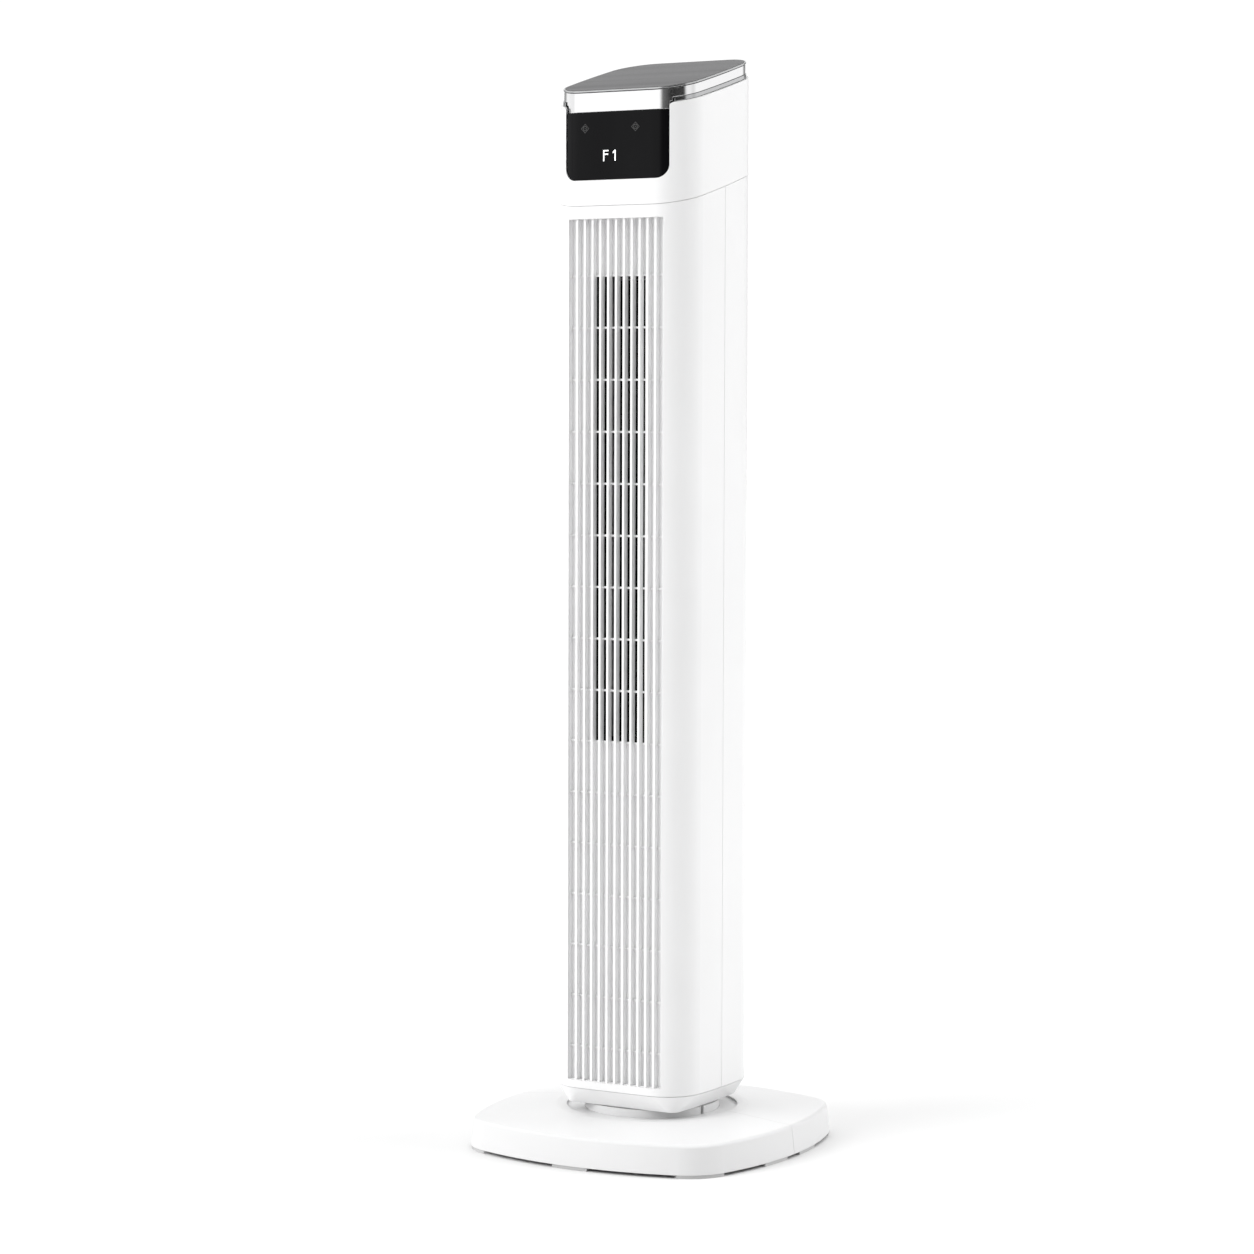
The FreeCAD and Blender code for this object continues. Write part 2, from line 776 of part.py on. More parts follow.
def pivot_post():
    """The hollow post that the column turns round, with a flange below and a clip groove on top."""
    body = new_body("pivot_post")
    tube(body, "collar_ceiling - collar_wall", "collar_ceiling", "post_flange")
    tube(body, "collar_ceiling", "post_top", "post_radius")
    drawing = top_view(body, "0")
    drawing.circle("0", "0", "post_bore")
    for x, y in post_screw_places():
        drawing.circle(x, y, "screw_radius")
    pocket(body, drawing, both=True)
    drawing = top_view(body, "clip_low")
    drawing.circle("0", "0", "beyond")
    drawing.circle("0", "0", "post_radius - clip_groove")
    pocket(body, drawing, "clip_height", back=True)
    return body


def post_screws():
    body = new_body("post_screws")
    flange_low = "collar_ceiling - collar_wall"
    heads = [(x, y, "screw_head") for x, y in post_screw_places()]
    rings(body, flange_low + " - screw_head_height", "screw_head_height", heads)
    rings(body, flange_low, "1.8 * collar_wall", [(x, y, "screw_radius") for x, y in post_screw_places()])
    return body


def slip_ring():
    body = new_body("slip_ring")
    tube(body, "collar_top", "slip_top", "slip_outer", "slip_inner")
    return body


def post_clip():
    """The retaining ring in the post's groove; it is open on one side to spring over the post."""
    body = new_body("post_clip")
    tube(body, "clip_low", "clip_top", "clip_outer", "post_radius - clip_groove")
    cut_block(body, "-(2 * screw_head)", "2 * screw_head", "0", "beyond")
    return body


def gear_outline(teeth):
    """An involute gear's outline on the origin, with a tooth on the +X axis."""
    builder = fcgear.FCWireBuilder()
    involute.CreateExternalGear(builder, number("gear_module"), int(number(teeth)), number("pressure_angle"))
    return Part.Face(Part.Wire([edge.toShape() for edge in builder.wire]))


def plain_feature(label, shape):
    feature = doc.addObject("Part::Feature", label)
    feature.Label = label
    feature.Shape = shape
    PIECES.append(feature)
    return feature


def swing_gear():
    """The fixed gear on the post."""
    height = number("gear_height")
    low = Vector(0, 0, number("gear_low"))
    gear = gear_outline("gear_teeth").extrude(Vector(0, 0, height))
    gear.translate(low)
    hole = Part.makeCylinder(number("post_radius"), height, low)
    return plain_feature("swing_gear", gear.cut(hole))


def drive_pinion():
    """The pinion with its shaft, one tooth gap facing the fixed gear's tooth."""
    gear = gear_outline("pinion_teeth").extrude(Vector(0, 0, number("gear_height")))
    half_tooth = 180.0 / number("pinion_teeth")
    gear.rotate(Vector(0, 0, 0), Vector(0, 0, 1), -90 + half_tooth)
    place = Vector(0, number("pinion_place"), number("gear_low"))
    gear.translate(place)
    reach = number("chassis_top + pinion_shaft_depth - gear_low")
    shaft = Part.makeCylinder(number("pinion_shaft"), reach, place)
    return plain_feature("drive_pinion", gear.fuse(shaft).removeSplitter())


# ---- foot of the column ----

def skirt():
    """The tapered tray that closes the column from below, with the hub for the turning bush."""
    body = new_body("skirt")
    low, high = top_view(body, "skirt_low"), top_view(body, "skirt_top")
    draw_skirt(low, "skirt_taper", "skirt_corner")
    draw_skirt(high, "0", "corner")
    loft(body, low, high)
    inner_low, inner_high = top_view(body, "skirt_low + skirt_floor"), top_view(body, "skirt_top")
    draw_skirt(inner_low, "skirt_taper + casing_wall / 2", "skirt_corner")
    draw_skirt(inner_high, "casing_wall", "corner - casing_wall")
    loft(body, inner_low, inner_high, cut=True)
    floor_top = "skirt_low + skirt_floor"
    tube(body, floor_top, "hub_top", "hub_outer")
    bosses = [(x, y, "skirt_boss_radius") for x, y in four_ways("skirt_boss_place")]
    rings(body, floor_top, "chassis_low - (%s)" % floor_top, bosses)
    drill(body, "hub_top", "bush_height", [("0", "0", "bush_outer")])
    holes = [(x, y, "screw_radius") for x, y in four_ways("skirt_boss_place")]
    drill(body, "chassis_low", "screw_depth", holes)
    return body


def draw_skirt(drawing, inset, corner):
    drawing.bowed_box("half_width - (%s)" % inset, "half_depth - (%s)" % inset,
                      "side_bow - (%s)" % inset, corner, straight=True)


def pivot_bush():
    body = new_body("pivot_bush")
    tube(body, "skirt_low", "hub_top", "bush_outer", "bush_inner")
    return body


def chassis_plate():
    """The steel plate over the skirt that carries the swing motor and the power board."""
    body = new_body("chassis_plate")
    drawing = top_view(body, "chassis_low")
    drawing.casing("chassis_inset")
    drawing.circle("0", "0", "chassis_hole / 2")
    drawing.circle("0", "pinion_place", "pinion_shaft + shaft_room")
    for x, y in four_ways("skirt_boss_place"):
        drawing.circle(x, y, "screw_radius")
    pad(body, drawing, "chassis_height")
    return body


def chassis_screws():
    body = new_body("chassis_screws")
    corners = four_ways("skirt_boss_place")
    rings(body, "chassis_top", "screw_head_height", [(x, y, "screw_head") for x, y in corners])
    rings(body, "chassis_top - screw_depth", "screw_depth", [(x, y, "screw_radius") for x, y in corners])
    return body


def swing_motor():
    """A flat stepper motor with two screw ears; the pinion's shaft turns in its bore."""
    body = new_body("swing_motor")
    tube(body, "chassis_top", "chassis_top + swing_motor_height", "swing_motor_radius", deep="pinion_place")
    drawing = top_view(body, "chassis_top")
    drawing.box("-swing_motor_ear", "swing_motor_ear", "pinion_place - swing_ear_half",
                "pinion_place + swing_ear_half")
    pad(body, drawing, "swing_ear_height")
    bore = ("0", "pinion_place", "pinion_shaft + running_clearance")
    depth = "pinion_shaft_depth + shaft_end_gap"
    drill(body, "chassis_top + " + depth, depth, [bore])
    return body


def power_board():
    """The mains board standing on the chassis, with its transformer, capacitor and terminals."""
    body = new_body("power_board")
    low = "power_board_low"
    add_board(body, "power_board_half", "-power_board_place", low, low + " + power_board_height")
    blocks = (("transformer_left", "transformer_width", "transformer_rise", "transformer_height",
               "transformer_depth"),
              ("capacitor_left", "capacitor_width", "capacitor_rise", "capacitor_height", "capacitor_depth"),
              ("terminals_left", "terminals_width", "terminals_rise", "terminals_height", "terminals_depth"))
    for left, width, rise, height, depth in blocks:
        foot = "%s + %s" % (low, rise)
        drawing = front_view(body, "-power_board_place + " + depth)
        drawing.box(left, "%s + %s" % (left, width), foot, "%s + %s" % (foot, height))
        pad(body, drawing, depth)
    return body


def add_board(body, half, rear, low, high):
    """An upright circuit board whose rear face is at a given depth."""
    drawing = front_view(body, rear)
    drawing.box("-" + half, half, low, high)
    return pad(body, drawing, "board_thick")


# ---- casing of the column ----

def casing_screw_places():
    """Both sides, at three heights."""
    return [(side + "screw_boss_place", height)
            for side in ("", "-") for height in ("low_screw", "middle_screw", "high_screw")]


def add_casing_bosses(body, front, rear, bore, bore_depth, mouth):
    """Bosses for the casing screws along Y, trimmed to the casing, with a hole from their mouth."""
    drawing = front_view(body, rear)
    for x, z in casing_screw_places():
        drawing.circle(x, z, "screw_boss_radius")
    pad(body, drawing, "(%s) - (%s)" % (rear, front))
    trim_to_casing(body, "0")
    drawing = front_view(body, mouth)
    for x, z in casing_screw_places():
        drawing.circle(x, z, bore)
    pocket(body, drawing, bore_depth)


def front_shell():
    """The front half of the casing, with the opening for the grille."""
    body = new_body("front_shell")
    casing_ring(body, "0", "casing_wall", "shell_low", "roof_front")
    cut_block(body, "-beyond", "beyond", "-half_seam", "beyond")
    add_casing_bosses(body, "-inner_half_depth", "-half_seam", "screw_radius", "screw_depth",
                      "-half_seam - screw_depth")
    drawing = front_view(body, "-inner_half_depth / 2")
    drawing.box("-grille_half", "grille_half", "grille_low", "grille_high")
    pocket(body, drawing, back=True)
    cut_across_slope(body, "head_front - half_seam", above=True)
    return body


def rear_shell():
    """The rear half of the casing, with the air intake's opening and the screw wells."""
    body = new_body("rear_shell")
    casing_ring(body, "0", "casing_wall", "shell_low", "roof_front")
    cut_block(body, "-beyond", "beyond", "-beyond", "half_seam")
    add_casing_bosses(body, "half_seam", "half_depth", "screw_radius", "half_depth", "half_seam")
    drawing = front_view(body, "screw_well_depth")
    for x, z in casing_screw_places():
        drawing.circle(x, z, "screw_well")
    pocket(body, drawing)
    drawing = front_view(body, "half_depth - 2 * casing_wall")
    drawing.rounded_box("-intake_half", "intake_half", "intake_low", "intake_high", "intake_corner")
    grip_outline(drawing, "grip_wall + intake_gap")
    pocket(body, drawing)
    cut_across_slope(body, "head_front - half_seam", above=True)
    return body


def grip_outline(drawing, grow):
    """The carrying grip's mouth, let out by an amount."""
    half = "grip_half + %s" % grow
    drawing.rounded_box("-(%s)" % half, half, "grip_low - (%s)" % grow, "grip_high + (%s)" % grow,
                        "grip_corner + %s" % grow)


def carry_grip():
    """The cup in the rear shell that a hand reaches into to carry the fan."""
    body = new_body("carry_grip")
    outside = front_view(body, "half_depth")
    grip_outline(outside, "grip_wall")
    pad(body, outside, "grip_depth + grip_wall")
    inside = front_view(body, "half_depth - grip_depth")
    grip_outline(inside, "0")
    pocket(body, inside)
    trim_to_casing(body, "0")
    return body


def casing_screws():
    """Six screws from the rear that hold the casing halves together."""
    body = new_body("casing_screws")
    head = front_view(body, "screw_well_depth")
    shank = front_view(body, "screw_well_depth")
    for x, z in casing_screw_places():
        head.circle(x, z, "screw_head")
        shank.circle(x, z, "screw_radius")
    pad(body, head, "screw_head_height", back=True)
    pad(body, shank, "screw_well_depth + half_seam + screw_depth - screw_end_gap")
    return body


def front_grille():
    """Upright fins with thin cross ribs behind them, in a frame that seats behind the shell."""
    body = new_body("front_grille")
    frame = front_view(body, "fin_back")
    frame.box("-grille_side", "grille_side", "grille_low - grille_lap", "grille_high + grille_lap")
    frame.box("-grille_half", "grille_half", "grille_low", "grille_high")
    pad(body, frame, "fin_depth")
    fins = front_view(body, "fin_back")
    half = int(number("fin_count")) // 2
    for place in range(-half, half + 1):
        middle = "%d * fin_pitch" % place
        fins.box(middle + " - fin_width / 2", middle + " + fin_width / 2", "grille_low", "grille_high")
    pad(body, fins, "fin_depth")
    ribs = front_view(body, "fin_back")
    for index in range(int(number("(grille_height - rib_first) / rib_pitch"))):
        middle = "grille_low + rib_first + %d * rib_pitch" % index
        ribs.box("-grille_half", "grille_half", middle + " - rib_height / 2", middle + " + rib_height / 2")
    pad(body, ribs, "rib_depth")
    trim_to_casing(body, "casing_wall")
    return body


def outlet_panel():
    """The flat panel behind the grille, with the tall window that the air blows out of."""
    body = new_body("outlet_panel")
    drawing = front_view(body, "outlet_back")
    side = "grille_half + outlet_margin"
    drawing.box("-(%s)" % side, side, "grille_low - grille_lap", "grille_high + grille_lap")
    drawing.box("-window_half", "window_half", "window_low", "window_high")
    pad(body, drawing, "outlet_wall")
    return body


def rear_grille():
    """The louvred panel in the rear intake: a raised field flush with the shell, and a flange behind."""
    body = new_body("rear_grille")
    flange = front_view(body, "inner_half_depth")
    side = "intake_half + intake_flange"
    flange.box("-(%s)" % side, side, "intake_low - intake_flange", "intake_high + intake_flange")
    pad(body, flange, "intake_flange_depth")
    trim_to_casing(body, "casing_wall")
    field = front_view(body, "half_depth")
    edges = ("intake_half - intake_gap", "intake_low + intake_gap", "intake_high - intake_gap")
    field.rounded_box("-(%s)" % edges[0], *edges, "intake_corner - intake_gap")
    pad(body, field, "casing_wall + intake_flange_depth")
    trim_to_casing(body, "0")
    cut_rows(body)
    return body


def cut_rows(body):
    """Three columns of level slots up the intake panel."""
    usable = "intake_high - intake_low - 2 * intake_margin"
    rows = int(number("(%s) / louvre_pitch" % usable))
    width = "(2 * intake_half - 2 * intake_margin - 2 * louvre_post) / 3"
    drawing = front_view(body, "inner_half_depth - 2 * intake_flange_depth")
    for column in (-1, 0, 1):
        middle = "%d * (%s + louvre_post)" % (column, width)
        drawing.box("%s - (%s) / 2" % (middle, width), "%s + (%s) / 2" % (middle, width),
                    "intake_low + intake_margin", "intake_low + intake_margin + louvre_slot")
    first = pocket(body, drawing)
    doc.recompute()
    pattern = body.newObject("PartDesign::LinearPattern", body.Name + "_rows")
    pattern.Originals = [first]
    pattern.Direction = (drawing.sketch, ["V_Axis"])
    pattern.Mode = "Spacing"
    pattern.setExpression("Offset", tied("louvre_pitch"))
    pattern.Occurrences = rows
    body.Tip = pattern


# ---- air path ----

def air_duct():
    """Floor, roof and curved walls that guide the air round the impeller to the window."""
    body = new_body("air_duct")
    wall = "duct_wall"
    for low in ("duct_low", "duct_high - duct_wall"):
        plate = top_view(body, low)
        plate.box("-duct_plate_half", "duct_plate_half", "outlet_back", "duct_plate_half")
        pad(body, plate, wall)
    drill(body, "duct_high", "duct_high - duct_low", [("0", "impeller_offset", "duct_shaft_hole")])
    height = "duct_high - duct_low"
    straight = top_view(body, "duct_low")
    straight.box("duct_inner", "duct_inner + duct_wall", "outlet_back", "impeller_offset")
    tongue = "-duct_tongue_place"
    straight.polygon([(tongue, "outlet_back"), (tongue, "outlet_back + duct_tongue_depth"),
                      ("-duct_plate_half", "outlet_back + duct_tongue_depth"),
                      ("-duct_plate_half", "outlet_back + duct_tongue_depth - duct_wall"),
                      (tongue + " - duct_wall", "outlet_back + duct_tongue_depth - duct_wall"),
                      (tongue + " - duct_wall", "outlet_back")])
    pad(body, straight, height)
    scroll = top_view(body, "duct_low")
    add_arc_band(scroll, "duct_inner", "duct_inner + duct_wall", "impeller_offset", "duct_scroll_turn")
    pad(body, scroll, height)
    return body


def add_arc_band(drawing, inner, outer, deep, turn):
    """Two arcs about the impeller's axis from the right round to the rear, joined at their ends."""
    centre = Vector(0, number(deep), 0)
    angle = math.radians(number(turn))
    first = drawing.arc(centre, number(inner), 0, angle)
    second = drawing.arc(centre, number(outer), 0, angle)
    spots = []
    for radius in (inner, outer):
        size = number(radius)
        spots.append((Vector(size, centre.y, 0),
                      Vector(size * math.cos(angle), centre.y + size * math.sin(angle), 0)))
    for end in (0, 1):
        line = drawing.sketch.addGeometry(Part.LineSegment(spots[0][end], spots[1][end]), False)
        drawing.rule("Coincident", line, 1, first, end + 1)
        drawing.rule("Coincident", line, 2, second, end + 1)
    drawing.put(first, 3, "0", deep)
    drawing.rule("Coincident", first, 3, second, 3)
    drawing.put(first, 1, inner, deep)
    drawing.put(second, 1, outer, deep)
    drawing.dimension("DistanceX", -1, 1, first, 2, size="(%s) * cos(%s)" % (inner, turn))
    drawing.dimension("DistanceX", -1, 1, second, 2, size="(%s) * cos(%s)" % (outer, turn))


def impeller_drum():
    """A long drum of lengthwise blades held by thin discs, closed at both ends by hubs."""
    body = new_body("impeller_drum")
    body.setExpression("Placement.Base.y", tied("impeller_offset"))
    tube(body, "impeller_low", "impeller_low + impeller_disc", "impeller_radius")
    blade = top_view(body, "impeller_low")
    blade.polygon(blade_corners())
    first = pad(body, blade, "impeller_high - impeller_low")
    doc.recompute()
    ring = body.newObject("PartDesign::PolarPattern", body.Name + "_ring")
    ring.Originals = [first]
    ring.Axis = (next(f for f in body.Origin.OriginFeatures if f.Role == "Z_Axis"), [""])
    ring.Occurrences = int(number("blade_count"))
    body.Tip = ring
    spans = int(number("impeller_discs")) - 1
    for index in range(1, spans + 1):
        low = "impeller_low + %d * (impeller_high - impeller_low - impeller_disc) / %d" % (index, spans)
        inner = None if index == spans else "impeller_radius - blade_ring - disc_lap"
        tube(body, low, low + " + impeller_disc", "impeller_radius", inner)
    drill(body, "impeller_low + impeller_disc", "impeller_disc", [("0", "0", "coupling_radius")])
    drill(body, "impeller_high", "impeller_disc", [("0", "0", "pin_radius")])
    return body


def blade_corners():
    """One straight blade, leaning back from the drum's rim to its inner ring."""
    corners = []
    for reach, turn in (("0", "0"), ("blade_ring", "blade_lean")):
        radius = "(impeller_radius - blade_set - %s)" % reach
        for side in ((-1, 1) if reach == "0" else (1, -1)):
            across = "%s * cos(%s / 2) - %d * blade_thick / 2 * sin(blade_lean)" % (radius, turn, side)
            deep = "%s * sin(%s / 2) + %d * blade_thick / 2 * cos(blade_lean)" % (radius, turn, side)
            corners.append((across, deep))
    return corners


def drum_coupling():
    """The rubber boss that grips the motor shaft and sits in the drum's lower disc."""
    body = new_body("drum_coupling")
    tube(body, "impeller_low", "impeller_low + coupling_height", "coupling_radius", "pin_radius",
         deep="impeller_offset")
    return body


def motor_shaft():
    body = new_body("motor_shaft")
    tube(body, "motor_low + shaft_tail", "impeller_low + coupling_height", "pin_radius",
         deep="impeller_offset")
    return body


def motor_rotor():
    body = new_body("motor_rotor")
    tube(body, "stator_low", "stator_low + rotor_height", "rotor_radius", "pin_radius",
         deep="impeller_offset")
    return body


def impeller_pin():
    """The stub on the drum's top disc that turns in the top bearing."""
    body = new_body("impeller_pin")
    tube(body, "impeller_high", "duct_high + bearing_height", "pin_radius", deep="impeller_offset")
    tube(body, "impeller_high - 1.5 * impeller_hub", "impeller_high - impeller_disc", "impeller_hub",
         deep="impeller_offset")
    tube(body, "impeller_high - impeller_disc", "impeller_high", "pin_radius", deep="impeller_offset")
    return body


def bearing_holder():
    """The ring on the duct's roof that holds the top bearing."""
    body = new_body("bearing_holder")
    tube(body, "duct_high", "duct_high + bearing_height", "holder_radius", "bearing_radius",
         deep="impeller_offset")
    return body


def top_bearing():
    body = new_body("top_bearing")
    tube(body, "duct_high", "duct_high + bearing_height", "bearing_radius", "bore_radius",
         deep="impeller_offset")
    return body


def motor_bulkhead():
    """The level plate across the casing that carries the fan motor."""
    body = new_body("motor_bulkhead")
    drawing = top_view(body, "bulkhead_low")
    drawing.casing("casing_wall")
    drawing.circle("0", "impeller_offset", "duct_shaft_hole")
    for x, y in motor_screw_places():
        drawing.circle(x, y, "screw_radius")
    pad(body, drawing, "bulkhead_height")
    cut_block(body, "-beyond", "beyond", "-beyond", "outlet_back")
    return body


def motor_screw_places():
    """Three lugs round the fan motor."""
    return [("motor_lug * cos(%d)" % angle, "impeller_offset + motor_lug * sin(%d)" % angle)
            for angle in (30, 150, 270)]


def motor_housing():
    """The motor's cup with three screw lugs, open on top."""
    body = new_body("motor_housing")
    tube(body, "motor_low", "motor_high", "motor_radius", deep="impeller_offset")
    for x, y in motor_screw_places():
        tube(body, "motor_low", "motor_low + motor_wall", "motor_lug_radius", across=x, deep=y)
    inside = [("0", "impeller_offset", "motor_radius - motor_wall")]
    drill(body, "motor_high", "motor_height - motor_wall", inside)
    drawing = top_view(body, "0")
    drawing.circle("0", "impeller_offset", "motor_bearing_radius")
    for x, y in motor_screw_places():
        drawing.circle(x, y, "screw_radius")
    pocket(body, drawing, both=True)
    return body


def motor_cap():
    """The motor's top cover, which holds the upper bearing."""
    body = new_body("motor_cap")
    tube(body, "motor_high", "motor_high + motor_cap_height", "motor_radius", "motor_bearing_radius",
         deep="impeller_offset")
    return body


def motor_stator():
    """The wound ring inside the housing."""
    body = new_body("motor_stator")
    tube(body, "stator_low", "stator_low + stator_height", "motor_radius - motor_wall", "stator_radius",
         deep="impeller_offset")
    return body


def motor_bearings():
    """Two plain bushes, in the housing's floor and in its cap."""
    body = new_body("motor_bearings")
    for low in ("motor_low", "motor_high + motor_cap_height - motor_bearing_height"):
        tube(body, low, low + " + motor_bearing_height", "motor_bearing_radius", "bore_radius",
             deep="impeller_offset")
    return body


def motor_screws():
    body = new_body("motor_screws")
    lug_top = "motor_low + motor_wall"
    places = motor_screw_places()
    rings(body, lug_top, "screw_head_height", [(x, y, "screw_head") for x, y in places])
    rings(body, "bulkhead_low", "bulkhead_height + motor_wall", [(x, y, "screw_radius") for x, y in places])
    return body


# ---- head ----

def head_shell():
    """The white head casing, cut down in front into a U for the display and the band above it."""
    body = new_body("head_shell")
    casing_ring(body, "0", "casing_wall", "head_front - seam_gap", "roof_front + beyond / 4")
    cut_across_slope(body, "head_front + half_seam", above=False)
    cut_across_slope(body, "roof_front - head_shell_drop", above=True)
    drawing = front_view(body, "-(corner / 2)")
    drawing.rounded_box("-fascia_half", "fascia_half", "fascia_floor", "roof_front + beyond / 4",
                        "fascia_corner")
    pocket(body, drawing, back=True)
    round_edges(body, "ear_corner", sloping_corner("fascia_half", "roof_front - head_shell_drop"))
    return body


def sloping_corner(side, front_height):
    """A test for the edges through the wall where a plane like the roof's meets an upright side."""
    across, low = number(side), number(front_height)

    def at_corner(edge):
        box = edge.BoundBox
        runs_inwards = box.XLength < 0.01 and box.YLength > 0.5
        return runs_inwards and abs(abs(box.XMax) - across) < 0.01 and box.ZMin > low - 0.1
    return at_corner


def cap_frame():
    """The black inner frame under the roof; it shows only in the notches and in the line under the rim."""
    body = new_body("cap_frame")
    casing_ring(body, "frame_inset", "frame_wall", "frame_low", "roof_front + beyond / 4")
    cut_across_slope(body, "roof_front - panel_height", above=True)
    cut_across_slope(body, "frame_low - roof_slope * half_depth", above=False)
    return body


def front_strip(label, inset, wall, half, low, high):
    """A curved strip that follows the casing across the front."""
    body = new_body(label)
    casing_ring(body, inset, wall, low, high)
    cut_block(body, "-beyond", "beyond", "-(corner / 2)", "beyond")
    cut_block(body, "-beyond", "-(%s)" % half, "-beyond", "beyond")
    cut_block(body, half, "beyond", "-beyond", "beyond")
    return body


def lens_frame():
    """The black carrier behind the lens, seen as a dark line in the notches beside the band."""
    return front_strip("lens_frame", "frame_inset - frame_wall", "frame_wall", "slit_side - trim_gap",
                       "frame_low", "band_low")


def display_lens():
    """The dark glossy window, curved round the casing's corners, with two round lower corners."""
    body = front_strip("display_lens", "lens_inset", "frame_inset - frame_wall - lens_inset",
                       "fascia_half - lens_gap", "lens_low", "lens_high")
    drawing = front_view(body, "-(corner / 2)")
    drawing.box("-beyond", "beyond", "lens_low - beyond / 4", "lens_high + beyond / 4")
    drawing.rounded_box("-(fascia_half - lens_gap)", "fascia_half - lens_gap", "lens_low",
                        "lens_high + 2 * fascia_corner", "fascia_corner - lens_gap")
    pocket(body, drawing, back=True)
    return body


def cap_band():
    """The polished band under the roof, all the way round, with an apron in front down to the lens."""
    body = new_body("cap_band")
    casing_ring(body, "cap_band_inset", "frame_inset - cap_band_inset", "band_low", "roof_front + beyond / 4")
    cut_across_slope(body, "cap_band_top", above=True)
    for left, right, front in (("-beyond", "beyond", "-(corner / 2)"), ("-beyond", "-apron_side", "-beyond"),
                               ("apron_side", "beyond", "-beyond")):
        cut_under_slope(body, "cap_band_low", left, right, front)
    ear_side, ear_top = "fascia_half - ear_gap", "roof_front - head_shell_drop + ear_gap"
    cut_under_slope(body, ear_top, "-beyond", "-(%s)" % ear_side, "-beyond")
    cut_under_slope(body, ear_top, ear_side, "beyond", "-beyond")
    round_edges(body, "apron_corner", sloping_corner(ear_side, ear_top))
    return body


def cut_under_slope(body, front_height, left, right, front):
    """Cuts away what lies under a sloping plane, within two sides and behind a place."""
    drawing = Drawing(body, "YZ_Plane", left)
    begin = "%s + roof_slope * (%s + half_depth)" % (front_height, front)
    finish = "%s + roof_slope * (beyond + half_depth)" % front_height
    drawing.polygon([(front, begin), ("beyond", finish), ("beyond", "-beyond"), (front, "-beyond")])
    return pocket(body, drawing, "(%s) - (%s)" % (right, left), back=True)


def trim_band():
    """The polished band round the sides and the back between the head shell and the cap band."""
    body = new_body("trim_band")
    casing_ring(body, "trim_inset", "frame_inset - trim_inset", "head_front", "roof_front + beyond / 4")
    cut_across_slope(body, "roof_front - head_shell_drop + trim_gap", above=False)
    cut_across_slope(body, "cap_band_low - trim_gap", above=True)
    cut_block(body, "-slit_side", "slit_side", "-beyond", "0")
    round_edges(body, "trim_corner", sloping_corner("slit_side", "cap_band_low - trim_gap"))
    return body


def top_rim():
    """The thin bright rim round the roof panel."""
    body = new_body("top_rim")
    casing_ring(body, "rim_inset", "rim_width", "head_front", "roof_front + beyond / 4")
    cut_across_slope(body, "roof_front - panel_height", above=False)
    cut_across_slope(body, "roof_front - rim_set", above=True)
    return body


def top_panel():
    """The smooth sloping roof panel."""
    body = new_body("top_panel")
    drawing = top_view(body, "head_front")
    drawing.casing("rim_inset + rim_width")
    pad(body, drawing, "head_height + beyond / 4")
    cut_across_slope(body, "roof_front - panel_height", above=False)
    cut_across_slope(body, "roof_front", above=True)
    return body


def display_digits():
    """The lit reading on the lens, a letter and a numeral of straight strokes."""
    body = new_body("display_digits")
    drawing = front_view(body, "lens_front")
    low, left = "digit_low", "-digit_left"
    high, middle = "digit_low + digit_height", "digit_low + arm_rise"
    stem, right = left + " + digit_stroke", left + " + digit_width"
    arm, bar = right + " - arm_set_back", high + " - digit_stroke"
    drawing.polygon([(left, low), (stem, low), (stem, middle), (arm, middle),
                     (arm, middle + " + digit_stroke"), (stem, middle + " + digit_stroke"),
                     (stem, bar), (right, bar), (right, high), (left, high)])
    one = left + " + digit_pitch + digit_stroke"
    flag, drop = one + " - flag_width", high + " - flag_drop"
    drawing.polygon([(one, low), (one + " + digit_stroke", low), (one + " + digit_stroke", high), (one, high),
                     (flag, drop), (flag, drop + " - flag_thick"), (one, high + " - flag_thick")])
    pad(body, drawing, "digit_proud")
    return body


def touch_marks():
    """Two printed touch marks on the lens: a rounded diamond, a ring and a dot in each."""
    body = new_body("touch_marks")
    for middle in ("-left_mark", "right_mark"):
        drawing = front_view(body, "lens_front")
        for radius in ("mark_radius", "mark_radius - mark_stroke"):
            drawing.polygon([("%s + %s" % (middle, radius), "mark_place"),
                             (middle, "mark_place + %s" % radius),
                             ("%s - (%s)" % (middle, radius), "mark_place"),
                             (middle, "mark_place - (%s)" % radius)])
        for radius in ("mark_ring", "mark_ring - mark_stroke", "mark_stroke"):
            drawing.circle(middle, "mark_place", radius)
        pad(body, drawing, "digit_proud")
    return body


def display_board():
    body = new_body("display_board")
    add_board(body, "display_board_half", "display_board_front + board_thick",
              "lens_low + display_board_margin", "lens_high - display_board_margin")
    return body


def control_board():
    """The sloping board under the roof panel."""
    body = new_body("control_board")
    drawing = top_view(body, "head_front")
    half = "control_board_half"
    drawing.box("-" + half, half, "-" + half, half)
    pad(body, drawing, "head_height + beyond / 4")
    cut_across_slope(body, "roof_front - control_board_drop", above=False)
    cut_across_slope(body, "roof_front - control_board_drop + board_thick", above=True)
    return body


def cord_gland():
    """The bush in the base's rear wall that a cord comes out of."""
    body = new_body("cord_gland")
    for radius, rear, length in (("gland_radius", "gland_face", "gland_length"),
                                 ("gland_flange", "gland_face", "gland_flange_height")):
        drawing = front_view(body, rear)
        drawing.circle("0", "gland_place", radius)
        drawing.circle("0", "gland_place", "gland_bore")
        pad(body, drawing, length)
    return body


